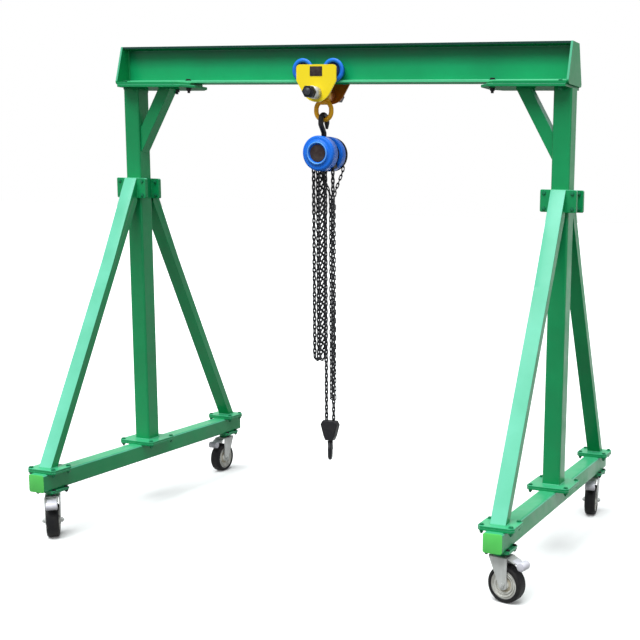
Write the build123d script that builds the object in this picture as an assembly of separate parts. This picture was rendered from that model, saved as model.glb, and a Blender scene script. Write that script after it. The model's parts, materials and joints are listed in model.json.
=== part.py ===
"""Portable gantry crane: an I-beam on two A-frame legs with swivel casters, a push trolley and a chain hoist.

Millimetres, +Z up, X along the beam, Y across it. The origin is on the floor under the middle of the beam.
Left is -X, front is -Y.
"""
import os
from math import acos, atan, atan2, cos, hypot, radians, sin, tan

from build123d import *

# Whole crane
crane_height = 2330.0
post_spacing = 2270.0
base_length = 1606.0

# Beam: a rolled section with a flat flange
beam_depth = 174.0
flange_width = 94.0
flange_thickness = 10.7
web_thickness = 6.5
root_radius = 8.0

# Plates under the beam's ends
end_plate_thickness = 10.0
end_plate_top_width = 98.0
end_plate_bottom_width = 208.0
end_plate_corner = 14.0
seat_plate_thickness = 12.0
seat_plate_width = 208.0
seat_plate_length = 390.0
head_plate_extra = 24.0
head_plate_play = 2.0
seat_plate_clip = 52.0

# Posts and their knee braces
post_size = 86.0
post_wall = 5.0
post_corner = 9.0
knee_size = 60.0
knee_wall = 4.0
knee_lean = 30.0
knee_reach = 190.0

# Collar, where the braces are bolted to wings on the post
collar_height = 1640.0
collar_plate_width = 170.0
collar_plate_tall = 100.0
collar_plate_thickness = 10.0

# Braces
brace_width = 70.0
brace_depth = 40.0
brace_wall = 3.0
brace_foot_setback = 80.0
brace_collar_y = 50.0

# Base beams and what is welded on them
base_size = 84.0
base_wall = 5.0
base_corner = 9.0
base_cap_thickness = 5.0
pad_thickness = 10.0
mid_pad_width = 205.0
mid_pad_length = 200.0
end_pad_width = 160.0
end_pad_length = 130.0
end_pad_setback = 24.0
pad_clip = 14.0

# Casters
caster_setback = 98.0
caster_weld_plate = 8.0
caster_plate_thickness = 6.0
caster_plate_x = 112.0
caster_plate_y = 104.0
plate_corner = 10.0
race_diameter = 62.0
race_height = 16.7
race_gap = 0.3
kingpin_diameter = 14.0
kingpin_nut_diameter = 24.0
kingpin_nut_height = 7.0
wheel_diameter = 160.0
wheel_headroom = 35.0
tyre_width = 56.0
tyre_thickness = 17.0
tyre_shoulder = 12.0
hub_rim_width = 48.0
hub_rim_thickness = 8.0
hub_web_width = 14.0
hub_boss_diameter = 44.0
caster_trail = 34.0
fork_sheet = 4.0
fork_gap = 2.0
fork_bend = 7.0
fork_front = 38.0
fork_back = 52.0
fork_eye_radius = 20.0
axle_diameter = 12.0
axle_nut_diameter = 22.0
axle_nut_height = 9.0
axle_stub = 5.0
pedal_width = 56.0
pedal_length = 42.0
pedal_droop = 24.0
shaft_play = 0.06
# How far round from +X each wheel trails, counter-clockwise seen from above
caster_turns = {"front_left": -51.0, "front_right": -13.0, "rear_left": -90.0, "rear_right": -82.0}

# Trolley
trolley_x = -70.0
side_plate_width = 210.0
side_plate_thickness = 8.0
side_plate_inner_y = 64.0
side_plate_above = 80.0
side_plate_below = 91.0
side_plate_arc = 82.0
side_plate_corner = 18.0
side_plate_shoulder = 7.0
wheel_spacing = 160.0
tread_diameter = 88.0
tread_start_y = 20.0
flange_diameter = 110.0
flange_play = 2.0
flange_rim = 7.0
wheel_pin_diameter = 20.0
wheel_pin_cap = 3.0
wheel_pin_play = 1.0
wheel_boss_wall = 12.0
wheel_dish = 8.0
seat_gap = 0.3
bar_drop = 50.0
bar_diameter = 34.0
bar_half_length = 159.0
spacer_diameter = 58.0
bar_nut_size = 50.0
bar_nut_height = 34.0
bar_tail = 6.0

# Lifting lug on the bar
lug_eye_diameter = 72.0
lug_eye_width = 24.0
lug_eye_round = 3.0
lug_side_play = 0.5
lug_ring_radius = 40.0
lug_ring_straight = 8.0
lug_section = 22.0
lug_ring_drop = 75.0
lug_neck_width = 64.0
lug_neck_thickness = 18.0
lug_neck_drop = 48.0

# Hoist
hook_section = 25.0
hook_inner_radius = 16.0
hook_tip_length = 8.0
hook_point_length = 28.0
hook_point_radius = 6.0
hook_shoulder = 18.0
hook_return = 37.0
hook_bend = 12.0
hoist_drop = 158.0
hoist_radius = 83.0
hoist_front = -64.0
frame_front = -13.0
frame_back = 30.0
rear_cover_back = 65.0
hand_wheel_back = 86.0
frame_radius = 66.0
yoke_width = 34.0
yoke_reach = 78.0
guide_reach = 68.0
guide_outer = 91.0
frame_play = 2.0
cover_round = 12.0
rear_cover_round = 4.0
cover_ring_radius = 50.0
cover_ring_section = 6.0
cover_recess_radius = 44.0
cover_recess = 3.0
hand_wheel_radius = 81.0
hand_wheel_core = 55.0
hand_wheel_flange = 3.0

# Chains, as places seen from the hoist's centre
load_chain_width = 18.0
fall_left = 7.0
fall_right = 47.0
block_drop = 1305.0
slack_left = -57.0
slack_right = -23.0
slack_bottom = 1002.0
second_slack_left = -46.0
second_slack_right = -14.0
second_slack_y = 19.0
hand_chain_width = 14.0
hand_chain_radius = 64.0
hand_chain_left = -9.0
hand_chain_right = 13.0
hand_chain_leave = 70.0
hand_chain_gather = 190.0
hand_chain_bottom = 1212.0
hand_chain_bend = 60.0

# Hook block and load hook
block_half_top = 34.0
block_half_width = 46.0
block_shoulder = 20.0
block_knee = 78.0
block_half_knee = 30.0
block_half_neck = 20.0
block_thickness = 40.0
block_height = 100.0
block_round = 6.0
swivel_pin_diameter = 14.0
swivel_pin_length = 22.0
load_hook_section = 20.0
load_hook_radius = 29.0
load_hook_centre = 62.0
load_hook_neck = 16.0
load_hook_return = 20.0
load_hook_bend = 10.0
load_hook_tip = 16.0
load_hook_turn = 24.0
swivel_pin_play = 1.0
latch_pin_diameter = 5.0
latch_pin_drop = 10.0
latch_pin_head = 1.0
latch_sheet = 2.0
latch_play = 0.4
latch_eye_radius = 6.0
latch_shoulder = 14.0
latch_shoulder_drop = 18.0
latch_web = 5.0
latch_web_top = 24.0
latch_web_start = 15.0
latch_tip_drop = 4.0

# Levels and places worked out from the sizes above
post_x = post_spacing / 2
beam_half = post_x + post_size / 2
beam_bottom = crane_height - beam_depth
seat_bottom = beam_bottom - seat_plate_thickness
post_top = seat_bottom - seat_plate_thickness
crown_top = wheel_diameter + wheel_headroom + fork_sheet
caster_top = crown_top + race_gap + race_height + caster_plate_thickness
base_bottom = caster_top + caster_weld_plate
base_top = base_bottom + base_size
foot_level = base_top + 2 * pad_thickness
brace_foot_y = base_length / 2 - brace_foot_setback
pad_y = base_length / 2 - end_pad_setback - end_pad_length / 2
caster_y = base_length / 2 - caster_setback
wing_face = post_size / 2 + collar_plate_thickness
brace_face = wing_face + collar_plate_thickness
fork_inner_y = tyre_width / 2 + fork_gap
fork_outer_y = fork_inner_y + fork_sheet
rail_top = beam_bottom + flange_thickness
trolley_wheel_z = rail_top + seat_gap + tread_diameter / 2
side_plate_outer_y = side_plate_inner_y + side_plate_thickness
bar_z = beam_bottom - bar_drop
ring_z = bar_z - lug_ring_drop
ring_bottom_z = ring_z - lug_ring_radius - lug_ring_straight / 2
hook_arc_z = ring_bottom_z + lug_section / 2 + seat_gap - hook_inner_radius
hoist_z = ring_bottom_z - hoist_drop
hand_chain_y = (rear_cover_back + hand_wheel_back) / 2
block_x = (fall_left + fall_right) / 2
block_top = hoist_z - block_drop
load_hook_z = block_top - block_height


def bar_along_x(sketch, half):
    """Extrudes a sketch drawn in Y and Z to both sides of X = 0."""
    return extrude(Plane.YZ * sketch, amount=half, both=True)


def bar_along_y(sketch, half):
    """Extrudes a sketch drawn in X and Z to both sides of Y = 0."""
    return extrude(Plane.XZ * sketch, amount=half, both=True)


def tube_sketch(size, wall, corner):
    return RectangleRounded(size, size, corner) - RectangleRounded(size - 2 * wall, size - 2 * wall, corner - wall)


def clipped_plate(width_x, length_y, clip, thickness):
    """A plate with its four corners cut off, lying on Z = 0."""
    plate = Box(width_x, length_y, thickness, align=(Align.CENTER, Align.CENTER, Align.MIN))
    return chamfer(plate.edges().filter_by(Axis.Z), clip)


def main_beam():
    flange = Rectangle(flange_width, flange_thickness)
    flange_offset = (beam_depth - flange_thickness) / 2
    section = Rectangle(web_thickness, beam_depth) + Pos(0, flange_offset) * flange + Pos(0, -flange_offset) * flange
    roots = [v for v in section.vertices() if abs(abs(v.X) - web_thickness / 2) < 0.01]
    section = fillet(roots, root_radius)
    return Pos(0, 0, beam_bottom + beam_depth / 2) * bar_along_x(section, beam_half - end_plate_thickness)


def end_plate():
    """The tapered plate that closes the beam's end, as wide as the seat plate at its foot."""
    top, foot = end_plate_top_width / 2, end_plate_bottom_width / 2
    outline = Polygon((-foot, seat_bottom), (foot, seat_bottom), (top, crane_height), (-top, crane_height),
                      align=None)
    outline = fillet(outline.vertices().sort_by(Axis.Y)[:2], end_plate_corner)
    plate = extrude(Plane.YZ * outline, amount=end_plate_thickness)
    return Pos(beam_half - end_plate_thickness, 0, 0) * plate


def head_outline(length):
    """Seen from above: square at the outer end, clipped at the inner one, with X running inwards."""
    half = seat_plate_width / 2
    return Polygon((0, -half), (length - seat_plate_clip, -half), (length, -half + seat_plate_clip),
                   (length, half - seat_plate_clip), (length - seat_plate_clip, half), (0, half), align=None)


def seat_plate():
    plate = extrude(head_outline(seat_plate_length), amount=seat_plate_thickness)
    return Pos(beam_half - end_plate_thickness, 0, seat_bottom) * Rot(0, 0, 180) * plate


def head_plate():
    plate = extrude(head_outline(seat_plate_length + head_plate_extra), amount=seat_plate_thickness)
    return Pos(beam_half - end_plate_thickness - head_plate_play, 0, post_top) * Rot(0, 0, 180) * plate


def post():
    """The post with its foot plate, one weldment."""
    tube = extrude(tube_sketch(post_size, post_wall, post_corner), amount=post_top - foot_level)
    foot = Pos(0, 0, -pad_thickness) * clipped_plate(mid_pad_width, mid_pad_length, pad_clip, pad_thickness)
    return Pos(post_x, 0, foot_level) * (tube + foot)


def collar_plate():
    plate = Box(collar_plate_width, collar_plate_thickness, collar_plate_tall)
    return chamfer(plate.edges().filter_by(Axis.Y), collar_plate_thickness / 2)


def post_wing(side_y):
    return Pos(post_x, side_y * (post_size + collar_plate_thickness) / 2, collar_height) * collar_plate()


def knee_outline(size, wall):
    """Side view of the knee between the post's inner face and the head plate; wall trims it all round."""
    half = (size / 2 - wall) / cos(radians(knee_lean))
    face = post_x - post_size / 2
    top_x = post_x - knee_reach
    slope = tan(radians(knee_lean))
    return [(top_x - half, post_top), (top_x + half, post_top),
            (face, post_top - (face - top_x - half) / slope), (face, post_top - (face - top_x + half) / slope)]


def knee_brace():
    outer = bar_along_y(Polygon(*knee_outline(knee_size, 0), align=None), knee_size / 2)
    bore = bar_along_y(Polygon(*knee_outline(knee_size, knee_wall), align=None), knee_size / 2 - knee_wall)
    return outer - bore


def brace_outline(wall):
    """Side view of a rear brace, cut level at its foot and upright at the collar plate."""
    lean = (brace_foot_y - brace_collar_y) / (collar_height - foot_level)
    half = (brace_depth / 2 - wall) / cos(atan(lean))
    low, high = [foot_level + (brace_foot_y + side * half - brace_face) / lean for side in (-1, 1)]
    return [(brace_foot_y - half, foot_level), (brace_foot_y + half, foot_level), (brace_face, high), (brace_face, low)]


def rear_brace():
    """A rear brace with its collar plate and its foot plate, one weldment."""
    outer = bar_along_x(Polygon(*brace_outline(0), align=None), brace_width / 2)
    bore = bar_along_x(Polygon(*brace_outline(brace_wall), align=None), brace_width / 2 - brace_wall)
    collar = Pos(0, brace_face - collar_plate_thickness / 2, collar_height) * collar_plate()
    foot = clipped_plate(end_pad_width, end_pad_length, pad_clip, pad_thickness)
    return Pos(post_x, 0, 0) * (outer - bore + collar + Pos(0, pad_y, base_top + pad_thickness) * foot)


def base_beam():
    """The base tube with its end caps, the pads the feet are bolted to and the plates the casters hang from."""
    tube = bar_along_y(tube_sketch(base_size, base_wall, base_corner), base_length / 2 - base_cap_thickness)
    cap = extrude(Plane.XZ * RectangleRounded(base_size, base_size, base_corner), amount=base_cap_thickness)
    body = tube + Pos(0, base_length / 2, 0) * cap + Pos(0, base_cap_thickness - base_length / 2, 0) * cap
    body = Pos(0, 0, base_bottom + base_size / 2) * body
    body += Pos(0, 0, base_top) * clipped_plate(mid_pad_width, mid_pad_length, pad_clip, pad_thickness)
    for side in (-1, 1):
        pad = clipped_plate(end_pad_width, end_pad_length, pad_clip, pad_thickness)
        body += Pos(0, side * pad_y, base_top) * pad
        plate = Box(caster_plate_x, caster_plate_y, caster_weld_plate, align=(Align.CENTER, Align.CENTER, Align.MAX))
        body += Pos(0, side * caster_y, base_bottom) * plate
    return Pos(post_x, 0, 0) * body


def turned(outline):
    """Turns a closed outline of radius and Y about the Y axis."""
    return revolve(outline, Axis.Y)


def upright(radius, low, high):
    return Pos(0, 0, low) * Cylinder(radius, high - low, align=(Align.CENTER, Align.CENTER, Align.MIN))


def along_y(radius, start, end):
    return Pos(0, end, 0) * extrude(Plane.XZ * Circle(radius), amount=end - start)


def rod(path, diameter):
    """A round rod along a path, square to it at both ends."""
    return sweep(Plane(origin=path @ 0, z_dir=path % 0) * Circle(diameter / 2), path=path)


def caster_top_plate():
    """The bolted plate with its race, kingpin and nut; the swivel axis is on Z in all caster pieces."""
    plate = Box(caster_plate_x, caster_plate_y, caster_plate_thickness, align=(Align.CENTER, Align.CENTER, Align.MAX))
    plate = Pos(0, 0, caster_top) * fillet(plate.edges().filter_by(Axis.Z), plate_corner)
    race_low = crown_top + race_gap
    nut_top = crown_top - fork_sheet - race_gap
    race = upright(race_diameter / 2, race_low, caster_top - caster_plate_thickness)
    pin = upright(kingpin_diameter / 2, nut_top, race_low)
    nut = upright(kingpin_nut_diameter / 2, nut_top - kingpin_nut_height, nut_top)
    return plate + race + pin + nut


def caster_fork():
    """A pressed fork: crown, two tapering cheeks, the axle with its nuts, and the brake pedal behind."""
    wheel_z = wheel_diameter / 2
    side = Polygon((-fork_front, crown_top), (caster_trail - fork_eye_radius, wheel_z),
                   (caster_trail + fork_eye_radius, wheel_z), (fork_back, crown_top), align=None)
    side += Pos(caster_trail, wheel_z) * Circle(fork_eye_radius)
    body = bar_along_y(side, fork_outer_y)
    body = fillet([e for e in body.edges().filter_by(Axis.X) if e.center().Z > crown_top - 0.01], fork_bend)
    room = Box(4 * fork_back, 2 * fork_inner_y, crown_top - fork_sheet, align=(Align.CENTER, Align.CENTER, Align.MIN))
    room = fillet(room.edges().filter_by(Axis.X).group_by(Axis.Z)[-1], fork_bend - fork_sheet)
    body -= room
    body -= upright(kingpin_diameter / 2 + shaft_play, 0, crown_top)
    nut_outer = fork_outer_y + axle_nut_height
    axle = along_y(axle_diameter / 2, -nut_outer - axle_stub, nut_outer + axle_stub)
    axle += along_y(axle_nut_diameter / 2, fork_outer_y, nut_outer)
    axle += along_y(axle_nut_diameter / 2, -nut_outer, -fork_outer_y)
    pedal = Box(pedal_length, pedal_width, fork_sheet, align=(Align.MIN, Align.CENTER, Align.MAX))
    pedal = Pos(fork_back - fork_sheet, 0, crown_top) * Rot(0, pedal_droop, 0) * pedal
    return body + pedal + Pos(caster_trail, 0, wheel_z) * axle


def caster_hub():
    rim_outer = wheel_diameter / 2 - tyre_thickness
    rim_inner = rim_outer - hub_rim_thickness
    boss, bore = hub_boss_diameter / 2, axle_diameter / 2 + shaft_play
    boss_half = fork_inner_y - race_gap
    outline = Polygon((bore, -boss_half), (boss, -boss_half), (boss, -hub_web_width / 2),
                      (rim_inner, -hub_web_width / 2), (rim_inner, -hub_rim_width / 2),
                      (rim_outer, -hub_rim_width / 2), (rim_outer, hub_rim_width / 2),
                      (rim_inner, hub_rim_width / 2), (rim_inner, hub_web_width / 2),
                      (boss, hub_web_width / 2), (boss, boss_half), (bore, boss_half), align=None)
    return Pos(caster_trail, 0, wheel_diameter / 2) * turned(outline)


def caster_tyre():
    radius = wheel_diameter / 2
    outline = Pos(radius - tyre_thickness / 2, 0) * Rectangle(tyre_thickness, tyre_width)
    outline = fillet(outline.vertices().sort_by(Axis.X)[-2:], tyre_shoulder)
    return Pos(caster_trail, 0, radius) * turned(outline)


def trolley_side_plate():
    """The front plate: square above, drawn in to a round belly below, and a pin for each wheel."""
    belly_z = beam_bottom - side_plate_below + side_plate_arc
    half, top, shoulder = side_plate_width / 2, beam_bottom + side_plate_above, beam_bottom + side_plate_shoulder
    touch = atan2(shoulder - belly_z, half) - acos(side_plate_arc / hypot(shoulder - belly_z, half))
    touch_x, touch_z = side_plate_arc * cos(touch), belly_z + side_plate_arc * sin(touch)
    outline = Polygon((half, top), (-half, top), (-half, shoulder), (-touch_x, touch_z), (touch_x, touch_z),
                      (half, shoulder), align=None)
    outline = fillet(outline.vertices().sort_by(Axis.Y)[-2:], side_plate_corner)
    outline += Pos(0, belly_z) * Circle(side_plate_arc)
    outline -= Pos(0, bar_z) * Circle(bar_diameter / 2)
    plate = Pos(0, -side_plate_inner_y, 0) * extrude(Plane.XZ * outline, amount=side_plate_thickness)
    for side in (-1, 1):
        pin = along_y(wheel_pin_diameter / 2, -side_plate_inner_y, -tread_start_y - wheel_pin_cap - wheel_pin_play)
        plate += Pos(side * wheel_spacing / 2, 0, trolley_wheel_z) * pin
    return Pos(trolley_x, 0, 0) * plate


def trolley_wheel():
    """A front wheel with its flange outside the beam's edge; its axis is on Y."""
    bore, tread = wheel_pin_diameter / 2 + shaft_play, tread_diameter / 2
    boss, dish, flange = bore + wheel_boss_wall, tread - wheel_dish, flange_diameter / 2
    cap_y, boss_y = -tread_start_y - wheel_pin_cap, seat_gap - side_plate_inner_y
    inner_rim_y = -flange_width / 2 - flange_play
    outer_rim_y = inner_rim_y - flange_rim
    outline = Polygon((0, -tread_start_y), (0, cap_y), (bore, cap_y), (bore, boss_y), (boss, boss_y),
                      (boss, inner_rim_y), (dish, inner_rim_y), (dish, outer_rim_y), (flange, outer_rim_y),
                      (flange, inner_rim_y), (tread, inner_rim_y), (tread, -tread_start_y), align=None)
    return turned(outline)


def suspension_bar():
    """The bar through both side plates, with the spacers that set their distance and hold the lug central."""
    bar = along_y(bar_diameter / 2, -bar_half_length, bar_half_length)
    nut_face = bar_half_length - bar_tail - bar_nut_height
    for side in (-1, 1):
        inside = sorted((side * (lug_eye_width / 2 + lug_side_play), side * side_plate_inner_y))
        outside = sorted((side * side_plate_outer_y, side * nut_face))
        bar += along_y(spacer_diameter / 2, *inside) + along_y(spacer_diameter / 2, *outside)
    return Pos(trolley_x, 0, bar_z) * bar


def bar_nut():
    face = bar_half_length - bar_tail - bar_nut_height
    outline = RegularPolygon(bar_nut_size / 2, 6, major_radius=False) - Circle(bar_diameter / 2)
    return Pos(trolley_x, -face, bar_z) * extrude(Plane.XZ * outline, amount=bar_nut_height)


def lifting_lug():
    """A forged ring under an eye that turns on the bar."""
    r, s = lug_ring_radius, lug_ring_straight / 2
    ring = (Line((-r, -s), (-r, s)) + ThreePointArc((-r, s), (0, r + s), (r, s)) + Line((r, s), (r, -s))
            + ThreePointArc((r, -s), (0, -r - s), (-r, -s)))
    path = Plane.XZ * ring
    ring = sweep(Plane(origin=(-r, 0, -s), z_dir=(0, 0, 1)) * Circle(lug_section / 2), path=path)
    eye = along_y(lug_eye_diameter / 2, -lug_eye_width / 2, lug_eye_width / 2)
    eye = fillet(eye.edges(), lug_eye_round)
    neck = Box(lug_neck_width, lug_neck_thickness, lug_neck_drop, align=(Align.CENTER, Align.CENTER, Align.MAX))
    bore = along_y(bar_diameter / 2 + shaft_play, -lug_eye_width, lug_eye_width)
    return Pos(trolley_x, 0, 0) * (Pos(0, 0, ring_z) * ring + Pos(0, 0, bar_z) * (eye + neck - bore))


def top_hook():
    """The hoist's hook, hung over the lug's ring and opening to the rear."""
    r = hook_inner_radius + hook_section / 2
    yoke_top = hoist_z + yoke_reach
    tip = Line((r, hook_arc_z - hook_tip_length), (r, hook_arc_z))
    bend = ThreePointArc((r, hook_arc_z), (0, hook_arc_z + r), (-r, hook_arc_z))
    knee = hook_arc_z - hook_shoulder
    shank = FilletPolyline((-r, hook_arc_z), (-r, knee), (0, knee - hook_return), (0, yoke_top), radius=hook_bend)
    hook = rod(Plane.YZ * (tip + bend + shank), hook_section)
    point = Cone(hook_point_radius, hook_section / 2, hook_point_length, align=(Align.CENTER, Align.CENTER, Align.MAX))
    return Pos(trolley_x, 0, 0) * (hook + Pos(0, r, hook_arc_z - hook_tip_length) * point)


def front_cover():
    front, back = hoist_front, frame_front
    outline = Polygon((0, front + cover_recess), (cover_recess_radius, front + cover_recess),
                      (cover_recess_radius, front), (hoist_radius, front), (hoist_radius, back), (0, back),
                      align=None)
    outline = fillet(outline.vertices().sort_by_distance((hoist_radius, front, 0))[0], cover_round)
    outline += Pos(cover_ring_radius, front) * Circle(cover_ring_section)
    return Pos(trolley_x, 0, hoist_z) * turned(outline)


def rear_cover():
    outline = Pos(hoist_radius / 2, (frame_back + rear_cover_back) / 2) * Rectangle(
        hoist_radius, rear_cover_back - frame_back)
    outline = fillet(outline.vertices().sort_by(Axis.X)[-2:], rear_cover_round)
    return Pos(trolley_x, 0, hoist_z) * turned(outline)


def hoist_frame():
    """The plates between the covers, with the yoke that takes the hook and the guide the load chain leaves by."""
    frame = along_y(frame_radius, frame_front, frame_back)
    middle, depth = (frame_front + frame_back) / 2, frame_back - frame_front - 2 * frame_play
    yoke = Pos(0, middle, 0) * Box(yoke_width, depth, yoke_reach, align=(Align.CENTER, Align.CENTER, Align.MIN))
    guide_from, guide_to = slack_left - load_chain_width / 2, fall_right + load_chain_width / 2
    guide = Box(guide_to - guide_from, depth, guide_reach, align=(Align.MIN, Align.CENTER, Align.MAX))
    guide = Pos(guide_from, middle, 0) * guide & along_y(guide_outer, hoist_front, rear_cover_back)
    return Pos(trolley_x, 0, hoist_z) * (frame + yoke + guide)


def hand_wheel():
    start, end = rear_cover_back, hand_wheel_back
    wheel = along_y(hand_wheel_core, start, end) + along_y(hand_wheel_radius, start, start + hand_wheel_flange)
    wheel += along_y(hand_wheel_radius, end - hand_wheel_flange, end)
    return Pos(trolley_x, 0, hoist_z) * wheel


def load_chain():
    """The two falls that carry the hook block, each as its envelope."""
    fall = upright(load_chain_width / 2, -block_drop, -guide_reach)
    return Pos(trolley_x, 0, hoist_z) * (Pos(fall_left, 0, 0) * fall + Pos(fall_right, 0, 0) * fall)


def slack_chain():
    """The idle end of the load chain, looped back to the hoist in two bights, one behind the other."""
    bights = []
    for left, right, y in ((slack_left, slack_right, 0), (second_slack_left, second_slack_right, second_slack_y)):
        radius = (right - left) / 2
        turn_z = radius - slack_bottom
        path = (Line((left, -guide_reach), (left, turn_z))
                + ThreePointArc((left, turn_z), (left + radius, -slack_bottom), (right, turn_z))
                + Line((right, turn_z), (right, -guide_reach)))
        bights.append(Pos(0, y, 0) * rod(Plane.XZ * path, load_chain_width))
    return Pos(trolley_x, 0, hoist_z) * (bights[0] + bights[1])


def hand_chain():
    """The endless hand chain over its wheel, its two strands drawn together below the hoist."""
    reach = hand_chain_radius
    turn_radius = (hand_chain_right - hand_chain_left) / 2
    turn_z = turn_radius - hand_chain_bottom
    left = FilletPolyline((-reach, 0), (-reach, -hand_chain_leave), (hand_chain_left, -hand_chain_gather),
                          (hand_chain_left, turn_z), radius=hand_chain_bend)
    turn = ThreePointArc((hand_chain_left, turn_z), (hand_chain_left + turn_radius, -hand_chain_bottom),
                         (hand_chain_right, turn_z))
    right = FilletPolyline((hand_chain_right, turn_z), (hand_chain_right, -hand_chain_gather),
                           (reach, -hand_chain_leave), (reach, 0), radius=hand_chain_bend)
    over = ThreePointArc((reach, 0), (0, reach), (-reach, 0))
    hanging = rod(Plane.XZ * (left + turn + right), hand_chain_width)
    return Pos(trolley_x, hand_chain_y, hoist_z) * (hanging + rod(Plane.XZ * over, hand_chain_width))


def hook_block():
    side = [(block_half_neck, -block_height), (block_half_knee, -block_knee), (block_half_width, -block_shoulder),
            (block_half_top, 0)]
    outline = Polygon(*side, *[(-x, z) for x, z in reversed(side)], align=None)
    block = bar_along_y(outline, block_thickness / 2)
    block = fillet(block.faces().filter_by(Axis.Y).edges(), block_round)
    bore = upright(swivel_pin_diameter / 2 + shaft_play, -block_height, swivel_pin_length - block_height)
    return Pos(trolley_x + block_x, 0, block_top) * (block - bore)


def load_hook():
    """The swivel hook below the block, drawn in its own plane from the block's underside down."""
    r, neck = load_hook_radius, load_hook_neck
    path = (FilletPolyline((0, -race_gap), (0, -neck), (-r, -neck - load_hook_return), (-r, -load_hook_centre),
                           radius=load_hook_bend)
            + ThreePointArc((-r, -load_hook_centre), (0, -load_hook_centre - r), (r, -load_hook_centre))
            + Line((r, -load_hook_centre), (r, load_hook_tip - load_hook_centre)))
    hook = rod(Plane.XZ * path, load_hook_section)
    hook += upright(swivel_pin_diameter / 2, -race_gap, swivel_pin_length - swivel_pin_play)
    pin_reach = load_hook_section / 2 + latch_play + latch_sheet + latch_pin_head
    return hook + Pos(0, 0, -latch_pin_drop) * along_y(latch_pin_diameter / 2, -pin_reach, pin_reach)


def hook_latch():
    """Two cheeks on the pin through the hook's neck, joined by the web that shuts the throat."""
    inner = load_hook_section / 2 + latch_play
    tip_x = load_hook_radius - load_hook_section / 2 - latch_play
    tip_z = load_hook_tip - load_hook_centre - latch_tip_drop
    cheek = Polygon((-latch_eye_radius, -latch_pin_drop), (tip_x - latch_web, tip_z), (tip_x, tip_z),
                    (latch_shoulder, -latch_shoulder_drop), (latch_eye_radius, -latch_pin_drop), align=None)
    cheek += Pos(0, -latch_pin_drop) * Circle(latch_eye_radius)
    cheek -= Pos(0, -latch_pin_drop) * Circle(latch_pin_diameter / 2 + shaft_play)
    web = Polygon((tip_x - latch_web, tip_z), (tip_x, tip_z), (latch_web_start, -latch_web_top),
                  (latch_web_start - latch_web, -latch_web_top), align=None)
    cheeks = bar_along_y(cheek, inner + latch_sheet) - bar_along_y(cheek, inner)
    return cheeks + bar_along_y(web, inner + latch_sheet)


def frame_parts():
    right = {"beam_shoe": end_plate() + seat_plate(), "head_plate": head_plate(),
             "post": post() + post_wing(-1) + post_wing(1), "knee_brace": knee_brace(),
             "rear_brace": rear_brace(), "base_beam": base_beam()}
    right["front_brace"] = mirror(right["rear_brace"], about=Plane.XZ)
    parts = {"main_beam": main_beam()}
    for name, shape in right.items():
        parts["right_" + name] = shape
        parts["left_" + name] = mirror(shape, about=Plane.YZ)
    return parts


def caster_parts():
    pieces = {"top_plate": caster_top_plate(), "fork": caster_fork(), "hub": caster_hub(), "tyre": caster_tyre()}
    parts = {}
    for corner, turn in caster_turns.items():
        x = post_x if corner.endswith("right") else -post_x
        y = caster_y if corner.startswith("rear") else -caster_y
        for name, shape in pieces.items():
            angle = 0.0 if name == "top_plate" else turn
            parts[f"{corner}_{name}"] = Pos(x, y, 0) * Rot(0, 0, angle) * shape
    return parts


def trolley_parts():
    wheel = trolley_wheel()
    plate, nut = trolley_side_plate(), bar_nut()
    parts = {"trolley_front_plate": plate, "trolley_rear_plate": mirror(plate, about=Plane.XZ),
             "suspension_bar": suspension_bar(), "front_bar_nut": nut, "rear_bar_nut": mirror(nut, about=Plane.XZ),
             "lifting_lug": lifting_lug()}
    for side, name in ((-1, "left"), (1, "right")):
        front = Pos(trolley_x + side * wheel_spacing / 2, 0, trolley_wheel_z) * wheel
        parts[f"front_{name}_trolley_wheel"] = front
        parts[f"rear_{name}_trolley_wheel"] = mirror(front, about=Plane.XZ)
    return parts


def hoist_parts():
    hook_place = Pos(trolley_x + block_x, 0, load_hook_z) * Rot(0, 0, 90 + load_hook_turn)
    return {"top_hook": top_hook(), "front_cover": front_cover(), "rear_cover": rear_cover(),
            "hoist_frame": hoist_frame(), "hand_wheel": hand_wheel(), "load_chain": load_chain(),
            "slack_chain": slack_chain(), "hand_chain": hand_chain(), "hook_block": hook_block(),
            "load_hook": hook_place * load_hook(), "hook_latch": hook_place * hook_latch()}


os.makedirs("parts", exist_ok=True)
for node, shape in {**frame_parts(), **caster_parts(), **trolley_parts(), **hoist_parts()}.items():
    export_step(shape, f"parts/{node}.step")
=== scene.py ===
"""Looks of the portable gantry crane: paint, bolts, welds, chain links, casters, trolley and hoist trim."""

import json
from math import atan2, cos, hypot, pi, radians, sin

import bmesh
import bpy
from mathutils import Matrix, Vector


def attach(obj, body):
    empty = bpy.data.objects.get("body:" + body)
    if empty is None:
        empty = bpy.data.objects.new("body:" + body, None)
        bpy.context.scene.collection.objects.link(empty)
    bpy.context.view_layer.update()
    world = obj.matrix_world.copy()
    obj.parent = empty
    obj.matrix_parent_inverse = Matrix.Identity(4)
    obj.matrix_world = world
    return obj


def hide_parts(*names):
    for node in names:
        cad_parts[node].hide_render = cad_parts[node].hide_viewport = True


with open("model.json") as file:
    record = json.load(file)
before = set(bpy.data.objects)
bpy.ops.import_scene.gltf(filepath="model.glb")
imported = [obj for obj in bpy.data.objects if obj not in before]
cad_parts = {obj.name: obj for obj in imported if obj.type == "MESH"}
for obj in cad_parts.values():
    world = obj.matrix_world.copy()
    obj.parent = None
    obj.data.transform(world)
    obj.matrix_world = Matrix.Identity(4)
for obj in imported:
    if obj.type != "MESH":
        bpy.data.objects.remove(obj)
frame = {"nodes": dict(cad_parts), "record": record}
nodes = frame["nodes"]
behaviour = frame["record"]["behaviour"]
pivots = {joint["name"]: joint["pos_m"] for joint in behaviour["joints"] if "pos_m" in joint}
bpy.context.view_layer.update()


def box(node):
    """Low and high corner of a CAD node, to a tenth of a millimetre."""
    points = [v.co for v in nodes[node].data.vertices]
    return [[round(pick(p[axis] for p in points), 4) for axis in range(3)] for pick in (min, max)]


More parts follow.
